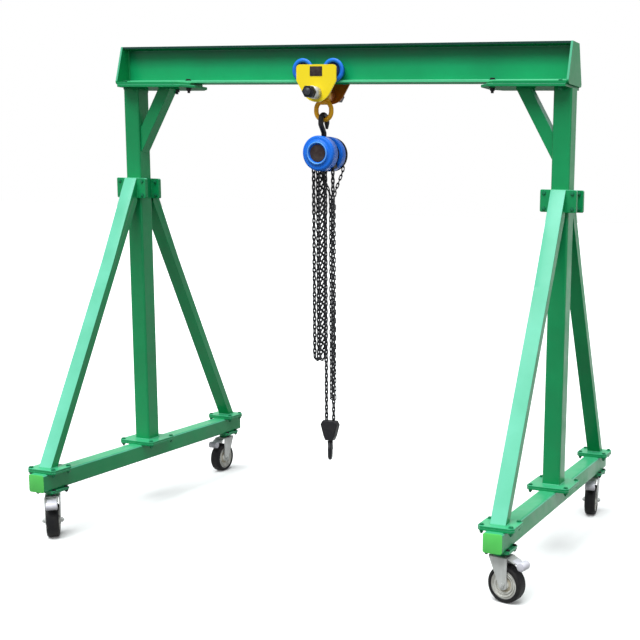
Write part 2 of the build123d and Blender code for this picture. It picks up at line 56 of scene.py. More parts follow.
# The crane's own levels and places, in metres, as its solids have them
PAD = 0.010
PAD_EDGE = 0.041
BASE_SIZE = 0.084
FLANGE = 0.0107
BRACE_FOOT_Y = 0.723

beam_low, beam_high = box("main_beam")
BEAM_BOTTOM, BEAM_TOP = beam_low[2], beam_high[2]
BEAM_HALF_WIDTH = beam_high[1]
WEB_END = beam_high[0] - 0.0005

base_high = box("right_base_beam")[1]
BASE_HALF = base_high[1]
BASE_TOP = base_high[2] - PAD
BASE_BOTTOM = BASE_TOP - BASE_SIZE
FOOT_LEVEL = BASE_TOP + 2 * PAD

brace_low, brace_high = box("right_rear_brace")
POST_HALF = brace_low[1] - PAD
PAD_Y = brace_high[1] - 0.065
COLLAR_Z = brace_high[2] - 0.050

POST_X, CASTER_Y, _ = pivots["rear_right_swivel_turn"]
wheel_x, wheel_y, WHEEL_R = pivots["rear_right_wheel_roll"]
TRAIL = hypot(wheel_x - POST_X, wheel_y - CASTER_Y)

TROLLEY_X = pivots["lug_swing"][0]
TROLLEY_WHEEL_X = pivots["front_right_trolley_wheel_roll"][0] - TROLLEY_X
TROLLEY_WHEEL_Z = pivots["front_right_trolley_wheel_roll"][2]
TROLLEY_WHEEL_RECESS_R = 0.0365
BAR_STAINED_FROM = -0.067
BAR_THREADED_FROM = 0.150

hand_wheel_low, hand_wheel_high = box("hand_wheel")
HAND_Y = (hand_wheel_low[1] + hand_wheel_high[1]) / 2
HOIST_Z = (hand_wheel_low[2] + hand_wheel_high[2]) / 2

CASTERS = ("front_left", "front_right", "rear_left", "rear_right")
SIDES = {"left": -1, "right": 1}
ENDS = {"front": -1, "rear": 1}
CORNERS = [(i, j) for i in (-1, 1) for j in (-1, 1)]
UP, FRONT = (0, 0, 1), (0, -1, 0)


# Materials

class Finish:
    """A material's node tree, with short ways to add what the finishes share."""

    def __init__(self, name, colour, roughness, metallic=0.0, coat=0.0, coat_roughness=0.1, specular=0.5):
        self.material = bpy.data.materials.new(name)
        self.material.use_nodes = True
        self.tree = self.material.node_tree
        self.shader = self.tree.nodes["Principled BSDF"]
        for socket, value in (("Base Color", (*colour, 1)), ("Roughness", roughness), ("Metallic", metallic),
                              ("Coat Weight", coat), ("Coat Roughness", coat_roughness),
                              ("Specular IOR Level", specular)):
            self.shader.inputs[socket].default_value = value
        self.place = self.tree.nodes.new("ShaderNodeTexCoord").outputs["Object"]
        self.height = None

    def node(self, kind, values=(), **settings):
        """Adds a node; each input gets a value or is linked to another node's output."""
        made = self.tree.nodes.new("ShaderNode" + kind)
        for key, value in settings.items():
            setattr(made, key, value)
        for key, value in dict(values).items():
            if isinstance(value, bpy.types.NodeSocket):
                self.tree.links.new(value, made.inputs[key])
            else:
                made.inputs[key].default_value = value
        return made

    def math(self, operation, *values):
        """The outcome of one sum on values or outputs."""
        return self.node("Math", dict(enumerate(values)), operation=operation).outputs[0]

    def coordinate(self, axis):
        """The object's own X, Y or Z, which is also the crane's."""
        return self.node("SeparateXYZ", {"Vector": self.place}).outputs[axis]

    def noise(self, scale, detail=3.0, roughness=0.55, stretch=None):
        """A cloudy pattern from nought to one."""
        place = self.place
        if stretch:
            place = self.node("Mapping", {"Vector": place, "Scale": stretch}).outputs["Vector"]
        return self.node("TexNoise", {"Vector": place, "Scale": scale, "Detail": detail,
                                      "Roughness": roughness}).outputs["Fac"]

    def range(self, value, low, high, to_low=0.0, to_high=1.0):
        """Spreads a value that lies between low and high over another span."""
        return self.node("MapRange", {"Value": value, "From Min": low, "From Max": high, "To Min": to_low,
                                      "To Max": to_high}).outputs["Result"]

    def mix(self, factor, first, second):
        """Blends two colours; each of the three may be a value or another node's output."""
        made = self.tree.nodes.new("ShaderNodeMix")
        made.data_type = "RGBA"
        for index, value in ((0, factor), (6, first), (7, second)):
            if isinstance(value, bpy.types.NodeSocket):
                self.tree.links.new(value, made.inputs[index])
            else:
                made.inputs[index].default_value = value if index == 0 else (*value, 1)
        return made.outputs[2]

    def set(self, socket, value):
        """Feeds an output into the finish's shader."""
        self.tree.links.new(value, self.shader.inputs[socket])

    def bump(self, height, strength, distance):
        """Adds a bump on top of those the finish already has."""
        values = {"Height": height, "Strength": strength, "Distance": distance}
        if self.height:
            values["Normal"] = self.height
        self.height = self.node("Bump", values).outputs["Normal"]
        self.set("Normal", self.height)


def shade(colour, factor):
    """A lighter or darker tone of a colour."""
    return tuple(min(1.0, c * factor) for c in colour)


def enamel(name, colour, roughness=0.36, coat=0.06, mottle=0.14, dust=0.08, peel=0.10):
    """Sprayed enamel: a faint mottle, orange peel, and a little dust that dulls it in patches."""
    f = Finish(name, colour, roughness, coat=coat, coat_roughness=0.12, specular=0.18)
    patches = f.range(f.noise(2.2, 4), 0.35, 0.68)
    tone = f.mix(patches, shade(colour, 1 - mottle), shade(colour, 1 + mottle))
    specks = f.range(f.noise(70, 5, 0.7), 0.62, 0.74, 0.0, dust)
    f.tone = f.mix(specks, tone, (0.16, 0.30, 0.18))
    f.set("Base Color", f.tone)
    f.set("Roughness", f.range(f.noise(9, 4), 0.3, 0.7, roughness - 0.06, roughness + 0.12))
    if peel:
        f.bump(f.noise(420, 2), peel, 0.0004)
        f.bump(f.noise(28, 3), peel, 0.0010)
    return f


def sky_sheened(name, colour):
    """The frame's green with a painted sky reflection: faces that look up are painted paler, in patches."""
    f = enamel(name, colour)
    up = f.node("SeparateXYZ", {"Vector": f.node("TexCoord").outputs["Normal"]}).outputs["Z"]
    patches = f.range(f.noise(3.5, 4), 0.3, 0.7, 0.66, 1.0)
    # Painted sheen: the more a face looks up, the more it is mixed towards a paler mint, standing for the
    # sky's reflection
    painted_sheen = f.math("MULTIPLY", f.range(up, 0.16, 0.38), patches)
    pale = f.mix(f.range(up, 0.5, 0.9), (0.155, 0.560, 0.395), (0.050, 0.400, 0.190))
    f.tone = f.mix(painted_sheen, f.tone, pale)
    f.set("Base Color", f.tone)
    f.set("Specular IOR Level", f.range(up, -0.7, -0.3, 0.0, 0.18))
    return f


def beam_paint():
    """A lighter copy of the frame's green, painted light, with the same painted sky sheen, a painted highlight
    along the lower flange's rim, and painted shade on the upper flange's rim and on the web below it.
    """
    f = sky_sheened("beam_enamel", (0.007, 0.410, 0.150))
    height = f.coordinate("Z")
    # Painted highlight on the lower flange's front rim; painted shade on the upper flange's rim, and on the
    # web, darker towards the upper flange as if in its shadow
    rim = f.range(f.math("ABSOLUTE", f.coordinate("Y")), BEAM_HALF_WIDTH - 0.0015, BEAM_HALF_WIDTH - 0.0005)
    lower_flange = f.range(height, BEAM_BOTTOM + 0.0110, BEAM_BOTTOM + 0.0125, 1.0, 0.0)
    lower_rim_highlight = f.math("MULTIPLY", rim, lower_flange)
    upper_rim_shade = f.math("MULTIPLY", rim, f.range(height, BEAM_TOP - 0.0120, BEAM_TOP - 0.0110))
    below_flange = f.range(height, BEAM_TOP - 0.0110, BEAM_TOP - 0.0100, 1.0, 0.0)
    flange_shadow = f.range(height, BEAM_TOP - 0.102, BEAM_TOP - 0.014, 0.0, 0.78)
    web_shade = f.math("MULTIPLY", flange_shadow, below_flange)
    tone = f.mix(lower_rim_highlight, f.tone, (0.090, 0.560, 0.270))
    f.set("Base Color", f.mix(f.math("MAXIMUM", web_shade, upper_rim_shade), tone, (0.004, 0.042, 0.032)))
    return f


def trolley_wheel_paint():
    """Blue enamel with painted shade: nearly black in the recess round each wheel's pin."""
    f = enamel("wheel_enamel", (0.012, 0.170, 0.720), roughness=0.38, coat=0.04, mottle=0.06, dust=0, peel=0)
    from_middle = f.math("ABSOLUTE", f.math("ADD", f.coordinate("X"), -TROLLEY_X))
    offset = {"X": f.math("ADD", from_middle, -TROLLEY_WHEEL_X),
              "Y": f.math("ADD", f.coordinate("Z"), -TROLLEY_WHEEL_Z)}
    offset = f.node("CombineXYZ", offset).outputs["Vector"]
    reach = f.node("VectorMath", {0: offset}, operation="LENGTH").outputs["Value"]
    # Painted shade: the recess round each wheel's pin is mixed to nearly black
    recess = f.range(reach, TROLLEY_WHEEL_RECESS_R - 0.001, TROLLEY_WHEEL_RECESS_R + 0.001, 1.0, 0.0)
    f.set("Base Color", f.mix(recess, f.tone, (0.006, 0.022, 0.120)))
    return f


# The frame's green, with a painted sky sheen on the faces that look up
green = sky_sheened("green_enamel", (0.005, 0.275, 0.090))
beam_green = beam_paint()
lime = enamel("cap_enamel", (0.105, 0.620, 0.120))
yellow = enamel("yellow_enamel", (0.98, 0.74, 0.020), roughness=0.30, mottle=0.05, dust=0.05)
# Painted shade: the rear plate is a dark orange that stands for the yellow plate in shade
shaded_plate_orange = enamel("rear_plate_shaded_enamel", (0.42, 0.115, 0.006))
# Painted highlight: a paler blue for the light that the front cover's raised rim catches
ring_highlight_blue = enamel("ring_highlight_enamel", (0.120, 0.380, 0.920), roughness=0.34, coat=0.1, mottle=0.04, dust=0, peel=0)
orange = enamel("lug_enamel", (0.90, 0.43, 0.012), roughness=0.34, mottle=0.12)
blue = enamel("blue_enamel", (0.010, 0.165, 0.790), roughness=0.38, coat=0.04, mottle=0.05, dust=0, peel=0)
wheel_blue = trolley_wheel_paint()


def plain_metal(name, colour, roughness, metallic):
    """Zinc plate or turned steel: cloudy tone, fine scratches."""
    f = Finish(name, colour, roughness, metallic=metallic)
    clouds = f.range(f.noise(14, 4), 0.3, 0.7)
    f.set("Base Color", f.mix(clouds, shade(colour, 0.82), shade(colour, 1.10)))
    scratches = f.noise(160, 3, 0.6, (1, 1, 0.08))
    f.set("Roughness", f.range(scratches, 0.3, 0.7, roughness - 0.08, roughness + 0.25))
    f.bump(f.noise(300, 2), 0.10, 0.0004)
    return f


def bar_finish():
    """Turned steel before the trolley, stained brown from its front plate on, black at the threaded ends."""
    f = plain_metal("turned_steel", (0.52, 0.51, 0.48), 0.42, 0.3)
    across_beam = f.coordinate("Y")
    tone = f.mix(f.range(f.noise(14, 4), 0.3, 0.7), (0.42, 0.41, 0.39), (0.58, 0.57, 0.53))
    stained = f.range(across_beam, BAR_STAINED_FROM - 0.001, BAR_STAINED_FROM + 0.001)
    tone = f.mix(stained, tone, (0.30, 0.085, 0.008))
    threaded = f.range(f.math("ABSOLUTE", across_beam), BAR_THREADED_FROM, BAR_THREADED_FROM + 0.0005)
    f.set("Base Color", f.mix(threaded, tone, (0.014, 0.015, 0.022)))
    return f


def black_oxide(name, colour=(0.012, 0.012, 0.015), roughness=0.38):
    """Blackened steel: nearly black, oily in places and a little greyer where it is dry."""
    f = Finish(name, colour, roughness, metallic=0.1, specular=0.14)
    f.set("Base Color", f.mix(f.range(f.noise(60, 4), 0.45, 0.75), colour, (0.022, 0.020, 0.022)))
    f.set("Roughness", f.range(f.noise(35, 3), 0.3, 0.7, roughness - 0.1, roughness + 0.2))
    f.bump(f.noise(260, 3), 0.2, 0.0005)
    return f


def two_toned(name, colour, roughness, scale, span, first, second, grain=None, **more):
    """A plain finish clouded between two tones; its grain is (scale, detail, strength, distance)."""
    f = Finish(name, colour, roughness, **more)
    f.set("Base Color", f.mix(f.range(f.noise(*scale), *span), first, second))
    if grain:
        f.bump(f.noise(*grain[:2]), *grain[2:])
    return f


zinc = plain_metal("zinc_plate", (0.46, 0.47, 0.46), 0.46, 0.35)
bar_steel = bar_finish()
black = black_oxide("black_steel")
dark_green = enamel("painted_bolts", (0.006, 0.185, 0.075), roughness=0.42)
chain_black = black_oxide("chain_black", (0.016, 0.016, 0.020), 0.32)
rubber = two_toned("tyre_rubber", (0.008, 0.008, 0.009), 0.60, (25, 4), (0.45, 0.75),
                   (0.007, 0.007, 0.008), (0.020, 0.019, 0.018), (220, 3, 0.25, 0.0006), specular=0.15)
hub = two_toned("hub_grey", (0.50, 0.50, 0.47), 0.38, (30, 4), (0.35, 0.7),
                (0.44, 0.43, 0.39), (0.58, 0.58, 0.55), (200, 2, 0.12, 0.0005), metallic=0.2)
beige = two_toned("hub_centre", (0.50, 0.45, 0.34), 0.45, (45, 4), (0.35, 0.7),
                  (0.42, 0.37, 0.27), (0.56, 0.52, 0.42), (160, 2, 0.15, 0.0005))
pedal_plastic = two_toned("pedal_plastic", (0.50, 0.49, 0.54), 0.45, (24, 4), (0.35, 0.7),
                          (0.52, 0.51, 0.58), (0.68, 0.67, 0.72), (240, 2, 0.10, 0.0004))
plate_dark = two_toned("bare_plate", (0.035, 0.022, 0.022), 0.35, (40, 3), (0.4, 0.7),
                       (0.030, 0.018, 0.018), (0.060, 0.045, 0.040), specular=0.15)


FINISH_BY_NODE = {
    "trolley_front_plate": yellow, "trolley_rear_plate": shaded_plate_orange, "lifting_lug": orange,
    "front_cover": blue, "rear_cover": blue, "main_beam": beam_green, "suspension_bar": bar_steel}
FINISH_BY_ENDING = {
    "_fork": zinc, "_hub": hub, "_tyre": rubber, "trolley_wheel": wheel_blue, "_chain": chain_black,
    "_beam": green, "_shoe": green, "_plate": green, "_post": green, "_brace": green}


def finish_for(node):
    """The finish of a CAD node; what no table names is black steel."""
    if node in FINISH_BY_NODE:
        return FINISH_BY_NODE[node]
    return next((finish for ending, finish in FINISH_BY_ENDING.items() if node.endswith(ending)), black)


for name, thing in nodes.items():
    thing.data.materials.clear()
    thing.data.materials.append(finish_for(name).material)


# Pieces

def all_edges(verts):
    """Every edge that meets one of the vertices."""
    return list({e for v in verts for e in v.link_edges})


def new_verts(geometry):
    """The vertices among what an operator made."""
    return [v for v in geometry if isinstance(v, bmesh.types.BMVert)]


def new_edges(geometry):
    """The edges among what an operator made."""
    return [e for e in geometry if isinstance(e, bmesh.types.BMEdge)]


def rounded_edges(bm, edges, width, segments=2, **more):
    """Bevels edges of a bmesh round; returns what the bevel made."""
    return bmesh.ops.bevel(bm, geom=edges, offset=width, segments=segments, profile=0.5, affect="EDGES",
                           material=-1, **more)


def piece(name, bm, finish, body, smooth=35.0):
    """Makes a bmesh an object that rides on a body, shaded smooth between faces up to smooth degrees apart."""
    mesh = bpy.data.meshes.new(name)
    bm.normal_update()
    bm.to_mesh(mesh)
    bm.free()
    mesh.materials.append(finish.material)
    made = bpy.data.objects.new(name, mesh)
    bpy.context.scene.collection.objects.link(made)
    mesh.shade_smooth()
    mesh.set_sharp_from_angle(angle=radians(smooth))
    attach(made, body)
    return made


# Degrees between two faces from which a CAD edge is bevelled, and up to which a skin is shaded smooth
SHARP_ABOVE = 32.0
SMOOTH_BELOW_BEVELLED = 22.0
SMOOTH_BELOW_PLAIN = 55.0
SMOOTH_BELOW_BRACE = 5.0


def softened(node, width):
    """Stands for a CAD node with a smooth copy; a width rounds its sharp edges, and they catch the light."""
    bm = bmesh.new()
    bm.from_mesh(nodes[node].data)
    bmesh.ops.remove_doubles(bm, verts=bm.verts, dist=1e-5)
    if width:
        bmesh.ops.dissolve_limit(bm, angle_limit=radians(0.6), verts=bm.verts, edges=bm.edges)
        inner = [e for e in bm.edges if len(e.link_faces) == 2]
        sharp = [e for e in inner if e.calc_face_angle() > radians(SHARP_ABOVE)]
        rounded_edges(bm, sharp, width, clamp_overlap=True)
        bmesh.ops.triangulate(bm, faces=[f for f in bm.faces if len(f.verts) > 4])
    body = next(b for b, members in behaviour["bodies"].items() if node in members)
    smooth = SMOOTH_BELOW_BEVELLED if width else SMOOTH_BELOW_PLAIN
    if node.endswith("_brace"):
        smooth = SMOOTH_BELOW_BRACE
    made = piece(f"{node}_skin", bm, finish_for(node), body, smooth)
    if width:
        weighting = made.modifiers.new("weighted_normals", "WEIGHTED_NORMAL")
        weighting.weight = 100
        weighting.keep_sharp = True
    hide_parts(node)


def cylinder(bm, radius, low, high, segments, bevel=0.0):
    """A cylinder on Z from low to high, its rims bevelled; returns its vertices."""
    middle = Matrix.Translation((0, 0, (low + high) / 2))
    made = bmesh.ops.create_cone(bm, cap_ends=True, segments=segments, radius1=radius, radius2=radius,
                                 depth=high - low, matrix=middle)["verts"]
    if bevel:
        rims = [e for e in all_edges(made) if abs(e.verts[0].co.z - e.verts[1].co.z) < 1e-6]
        out = rounded_edges(bm, rims, bevel)
        made = list({v for v in made if v.is_valid} | set(out["verts"]))
    return made


def copies(bm, mesh, matrices):
    """Adds a mesh to bm once for each matrix and removes the mesh."""
    for matrix in matrices:
        start = len(bm.verts)
        bm.from_mesh(mesh)
        bm.verts.ensure_lookup_table()
        bmesh.ops.transform(bm, matrix=matrix, verts=bm.verts[start:])
    bpy.data.meshes.remove(mesh)


def template(bm):
    """A loose mesh with a bmesh's shape, to be copied many times."""
    mesh = bpy.data.meshes.new("template")
    bm.to_mesh(mesh)
    bm.free()
    return mesh


def facing(place, direction, spin=0.0):
    """Matrix that puts +Z along direction at a place."""
    turn = Vector(direction).to_track_quat("Z", "Y").to_matrix().to_4x4()
    return Matrix.Translation(place) @ turn @ Matrix.Rotation(spin, 4, "Z")


def bolt_template(size, grip, tail):
    """A hex bolt: head and washer above Z = 0, washer, nut and thread end below -grip."""
    washer, hexagon, washer_height, chamfer = size * 1.15, size * 0.92, size * 0.16, size * 0.07
    bm = bmesh.new()
    cylinder(bm, washer, 0, washer_height, 20)
    cylinder(bm, hexagon, washer_height, size * 0.66, 6, bevel=chamfer)
    cylinder(bm, washer, -grip - washer_height, -grip, 20)
    cylinder(bm, hexagon, -grip - size, -grip - washer_height, 6, bevel=chamfer)
    cylinder(bm, size * 0.5, -grip - size - tail, -grip - size * 0.9, 12, bevel=size * 0.06)
    return template(bm)


def bolts(name, places, size, grip, finish=black, tail=0.006):
    """Bolts of one size, each at a place and pointing its head along a direction."""
    bm = bmesh.new()
    matrices = [facing(place, direction, 0.35 + 1.7 * i) for i, (place, direction) in enumerate(places)]
    copies(bm, bolt_template(size, grip, tail), matrices)
    piece(name, bm, finish, "root")


EDGE_WIDTHS = {green: 0.0014, beam_green: 0.0014, yellow: 0.0012, shaded_plate_orange: 0.0012, zinc: 0.0008}
for name in nodes:
    if finish_for(name) is not chain_black:
        softened(name, EDGE_WIDTHS.get(finish_for(name), 0))

for side, sign in SIDES.items():
    x = sign * POST_X
    feet = (("front", -PAD_Y, 0.064, 0.049), ("middle", 0, 0.086, 0.083), ("rear", PAD_Y, 0.064, 0.049))
    for label, y, reach_x, reach_y in feet:
        places = [((x + i * reach_x, y + j * reach_y, FOOT_LEVEL), UP) for i, j in CORNERS]
        bolts(f"{side}_{label}_foot_bolts", places, size=0.0100, grip=2 * PAD, finish=dark_green)
    for label, way in ENDS.items():
        y = way * (POST_HALF + 2 * PAD)
        places = [((x + i * 0.066, y, COLLAR_Z + j * 0.034), (0, way, 0)) for i, j in CORNERS]
        bolts(f"{side}_{label}_collar_bolts", places, size=0.0085, grip=2 * PAD, finish=dark_green)
    z = BEAM_BOTTOM + FLANGE
    places = [((sign * 0.800, -0.032, z), UP), ((sign * 0.915, 0.032, z), UP)]
    bolts(f"{side}_head_bolts", places, size=0.0135, grip=0.0347, tail=0.010)
    places = [((x, j * 0.080, BEAM_BOTTOM), UP) for j in (-1, 1)]
    bolts(f"{side}_outer_head_bolts", places, size=0.0110, grip=0.024, finish=dark_green, tail=0.003)
for corner in CASTERS:
    x, y, _ = pivots[f"{corner}_swivel_turn"]
    places = [((x + i * 0.047, y + j * 0.040, BASE_BOTTOM), UP) for i, j in CORNERS]
    bolts(f"{corner}_caster_bolts", places, size=0.0085, grip=0.014, tail=0.003)


# Welds, the caps of the base beams and the heads of the braces

BEAD_RADIUS = 0.0036
FINE_BEAD_RADIUS = 0.0030
RIPPLE = 0.0065


def bead(bm, start, end, radius=BEAD_RADIUS):
    """A rippled weld bead from start to end."""
    start, end = Vector(start), Vector(end)
    count = max(2, round((end - start).length / RIPPLE))
    move = (end - start) / count
    ring = bmesh.ops.create_circle(bm, segments=6, radius=radius, matrix=facing(start, move))["verts"]
    edges = all_edges(ring)
    for i in range(count):
        out = bmesh.ops.extrude_edge_only(bm, edges=edges)["geom"]
        ring = new_verts(out)
        edges = [e for e in new_edges(out) if all(v in ring for v in e.verts)]
        size = 0.80 if i % 2 == 0 else 1.25
        bmesh.ops.translate(bm, verts=ring, vec=move)
        bmesh.ops.scale(bm, verts=ring, vec=(size,) * 3, space=Matrix.Translation(-(start + move * (i + 1))))


def ring_of_beads(bm, x, y, z, half_x, half_y):
    """Beads round a tube that stands on a plate."""
    corners = [(x + i * half_x, y + j * half_y, z) for i, j in ((-1, -1), (1, -1), (1, 1), (-1, 1))]
    for a, b in zip(corners, corners[1:] + corners[:1]):
        bead(bm, a, b)


def welds(side, sign):
    """Every weld bead of one leg and of its end of the beam."""
    x = sign * POST_X
    bm = bmesh.new()
    ring_of_beads(bm, x, 0, FOOT_LEVEL, POST_HALF - 0.001, POST_HALF - 0.001)
    for way in (-1, 1):
        ring_of_beads(bm, x, way * BRACE_FOOT_Y, FOOT_LEVEL, 0.034, 0.0215)
        for edge in (-1, 1):
            edge_x, edge_y = x + edge * POST_HALF, way * (POST_HALF - 0.001)
            bead(bm, (edge_x, edge_y, COLLAR_Z - 0.047), (edge_x, edge_y, COLLAR_Z + 0.047))
        for edge in (-1, 1):
            edge_x, near, far = x + edge * PAD_EDGE, way * (PAD_Y - 0.060), way * (PAD_Y + 0.060)
            bead(bm, (edge_x, near, BASE_TOP), (edge_x, far, BASE_TOP), FINE_BEAD_RADIUS)
    for edge in (-1, 1):
        edge_x = x + edge * PAD_EDGE
        bead(bm, (edge_x, -0.095, BASE_TOP), (edge_x, 0.095, BASE_TOP), FINE_BEAD_RADIUS)
    end_x, flange_top = sign * WEB_END, BEAM_BOTTOM + FLANGE
    for way in (-1, 1):
        bead(bm, (end_x, way * 0.005, BEAM_BOTTOM + 0.012), (end_x, way * 0.005, BEAM_TOP - 0.012))
        bead(bm, (end_x, way * 0.006, flange_top), (end_x, way * 0.045, flange_top))
        rim_y = way * BEAM_HALF_WIDTH
        bead(bm, (sign * 0.79, rim_y, BEAM_BOTTOM), (sign * 1.16, rim_y, BEAM_BOTTOM), FINE_BEAD_RADIUS)
    piece(f"{side}_weld_beads", bm, green, "root", smooth=60)


def base_cap(side, label, x, way):
    """The pale plate that closes an end of a base beam."""
    bm = bmesh.new()
    place = Matrix.Translation((x, way * (BASE_HALF + 0.0004), BASE_BOTTOM + BASE_SIZE / 2))
    bmesh.ops.create_cube(bm, size=1, matrix=place @ Matrix.Diagonal((BASE_SIZE, 0.0020, BASE_SIZE, 1)))
    corners = [e for e in bm.edges if abs((e.verts[0].co - e.verts[1].co).normalized().y) > 0.9]
    rounded_edges(bm, corners, 0.009, segments=5)
    rims = [e for e in bm.edges if len(e.link_faces) == 2 and e.calc_face_angle() > 1.0]
    rounded_edges(bm, rims, 0.0006)
    piece(f"{side}_{label}_base_cap", bm, lime, "root")


def brace_head(side, label, x, way):
    """The sloping face that carries a brace's front straight up to the top edge of its collar plate."""
    bm = bmesh.new()
    inner, top, foot, thickness, half_width = 0.056, 0.0655, 0.2962, 0.012, 0.0352
    head_z, bevelled_above, foot_z = COLLAR_Z + 0.049, COLLAR_Z - 0.040, 1.200
    outline = ((inner, head_z), (top, head_z), (foot, foot_z), (foot - thickness, foot_z), (inner, COLLAR_Z))
    side_face = bm.faces.new([bm.verts.new((x - half_width, way * y, z)) for y, z in outline])
    out = bmesh.ops.extrude_face_region(bm, geom=[side_face])["geom"]
    bmesh.ops.translate(bm, verts=new_verts(out), vec=(2 * half_width, 0, 0))
    bmesh.ops.recalc_face_normals(bm, faces=bm.faces)
    free = []
    for edge in bm.edges:
        low, high = sorted(v.co.z for v in edge.verts)
        lengthwise = abs(edge.verts[0].co.x - edge.verts[1].co.x) < 1e-6
        if low > bevelled_above or high > bevelled_above and lengthwise:
            free.append(edge)
    rounded_edges(bm, free, 0.0015)
    piece(f"{side}_{label}_brace_head", bm, green, "root")


for side, sign in SIDES.items():
    welds(side, sign)
    for label, way in ENDS.items():
        base_cap(side, label, sign * POST_X, way)
        brace_head(side, label, sign * POST_X, way)


# Casters

TURNED_STEPS = 56


def turned(rings):
    """Turns a line of (radius, height) points about +Z."""
    bm = bmesh.new()
    before = None
    for radius, height in rings:
        point = bm.verts.new((radius, 0, height))
        if before:
            bm.edges.new((before, point))
        before = point
    bmesh.ops.spin(bm, geom=bm.verts[:] + bm.edges[:], cent=(0, 0, 0), axis=(0, 0, 1), angle=2 * pi,
                   steps=TURNED_STEPS, use_merge=True)
    bmesh.ops.remove_doubles(bm, verts=bm.verts, dist=1e-6)
    bmesh.ops.recalc_face_normals(bm, faces=bm.faces)
    return bm


def swell(radius, height, low, size=0.0022):
    """Profile points of a small rounded ring standing out at a radius."""
    return [(radius + size, low), (radius + size * 0.7, height + size * 0.5), (radius, height + size),
            (radius - size * 0.7, height + size * 0.5), (radius - size, low)]


def turned_with(corner):
    """Matrix from a caster that trails along +X at the crane's middle to the caster in a corner."""
    x, y, _ = pivots[f"{corner}_swivel_turn"]
    wheel_x, wheel_y, _ = pivots[f"{corner}_wheel_roll"]
    return Matrix.Translation((x, y, 0)) @ Matrix.Rotation(atan2(wheel_y - y, wheel_x - x), 4, "Z")


HUB_FACE = [(0.0600, 0.0225), (0.0560, 0.0250), *swell(0.0510, 0.0235, 0.0205), (0.0450, 0.0200),
            *swell(0.0400, 0.0215, 0.0185), (0.0330, 0.0175)]
CENTRE_FACE = [(0.0332, 0.0178), (0.0300, 0.0190), *swell(0.0265, 0.0200, 0.0180, 0.0016), (0.0222, 0.0195)]
for corner in CASTERS:
    swivel = turned_with(corner)
    for label, line, finish in (("hub_face", HUB_FACE, hub), ("hub_centre", CENTRE_FACE, beige)):
        bm = bmesh.new()
        matrices = [swivel @ facing((TRAIL, 0, WHEEL_R), (0, way, 0)) for way in (-1, 1)]
        copies(bm, template(turned(line)), matrices)
        piece(f"{corner}_{label}", bm, finish, f"{corner}_wheel", smooth=50)
    bm = bmesh.new()
    roller = cylinder(bm, 0.0185, -0.025, 0.025, 40, bevel=0.004)
    bmesh.ops.transform(bm, matrix=swivel @ facing((0.113, 0, 0.169), (0, 1, 0)), verts=roller)
    arm_place = Matrix.Translation((0.092, 0, 0.178)) @ Matrix.Rotation(radians(24), 4, "Y")
    arm_size = Matrix.Diagonal((0.046, 0.042, 0.007, 1))
    arm = bmesh.ops.create_cube(bm, size=1, matrix=swivel @ arm_place @ arm_size)["verts"]
    rounded_edges(bm, all_edges(arm), 0.0015)
    piece(f"{corner}_pedal_pad", bm, pedal_plastic, f"{corner}_swivel")


# Chains

LINK_SIDES = 6
LINK_BEND_STEPS = 5


def link_template(wire, inner_length, inner_width):
    """One chain link, long along Z and wide along X."""
    half_width, straight = (inner_width + wire) / 2, (inner_length - inner_width) / 2
    bm = bmesh.new()
    start = Matrix.Translation((half_width, 0, straight))
    section = bmesh.ops.create_circle(bm, segments=LINK_SIDES, radius=wire / 2, matrix=start)["verts"]
    first = all_edges(section)
    bend = {"axis": (0, -1, 0), "angle": pi, "steps": LINK_BEND_STEPS}
    out = bmesh.ops.spin(bm, geom=first, cent=(0, 0, straight), **bend)
    out = bmesh.ops.extrude_edge_only(bm, edges=new_edges(out["geom_last"]))["geom"]
    bmesh.ops.translate(bm, verts=new_verts(out), vec=(0, 0, -2 * straight))
    last = [e for e in new_edges(out) if abs(e.verts[0].co.z - e.verts[1].co.z) < 1e-7]
    out = bmesh.ops.spin(bm, geom=last, cent=(0, 0, -straight), **bend)
    bmesh.ops.bridge_loops(bm, edges=first + new_edges(out["geom_last"]))
    bmesh.ops.recalc_face_normals(bm, faces=bm.faces)
    return template(bm)


def along(points, pitch, offset):
    """Places at every pitch along a line through points, from an offset on, each with its direction."""
    places, travelled, target = [], 0.0, offset
    for a, b in zip(points, points[1:]):
        length = (b - a).length
        while target <= travelled + length:
            places.append((a.lerp(b, (target - travelled) / length), (b - a).normalized()))
            target += pitch
        travelled += length
    return places


def arc(centre, radius, start, end, steps=16):
    """Points of an arc in the XZ plane, angles in degrees from +X towards +Z."""
    angles = [radians(start + (end - start) * i / steps) for i in range(steps + 1)]
    return [Vector((centre[0] + radius * cos(a), centre[1], centre[2] + radius * sin(a))) for a in angles]


def rounded(corners, radius, steps=6):
    """A line through corners with each inner corner rounded off."""
    line = [corners[0]]
    for a, b, c in zip(corners, corners[1:], corners[2:]):
        first, second = (a - b).normalized(), (c - b).normalized()
        cut = min(radius, (a - b).length / 2, (c - b).length / 2)
        p, q = b + first * cut, b + second * cut
        line += [p.lerp(b, t / steps).lerp(b.lerp(q, t / steps), t / steps) for t in range(steps + 1)]
    return line + [corners[-1]]


CHAIN_TWIST = 0.5


def chain(name, lines, wire, inner_length, inner_width, replaces):
    """Links along each line, every second one turned a quarter."""
    bm = bmesh.new()
    matrices = []
    for number, line in enumerate(lines):
        for i, (place, direction) in enumerate(along(line, inner_length, inner_length * 0.35 * (number % 3))):
            sway = 0.10 * sin(i * 2.3 + number * 1.7)
            matrices.append(facing(place, direction, CHAIN_TWIST + (pi / 2 if i % 2 else 0) + sway))
    copies(bm, link_template(wire, inner_length, inner_width), matrices)
    made = piece(name, bm, chain_black, "hoist", smooth=80)
    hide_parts(replaces)


def at(x, y, z):
    """A place counted from the middle of the hoist."""
    return Vector((TROLLEY_X + x, y, HOIST_Z + z))


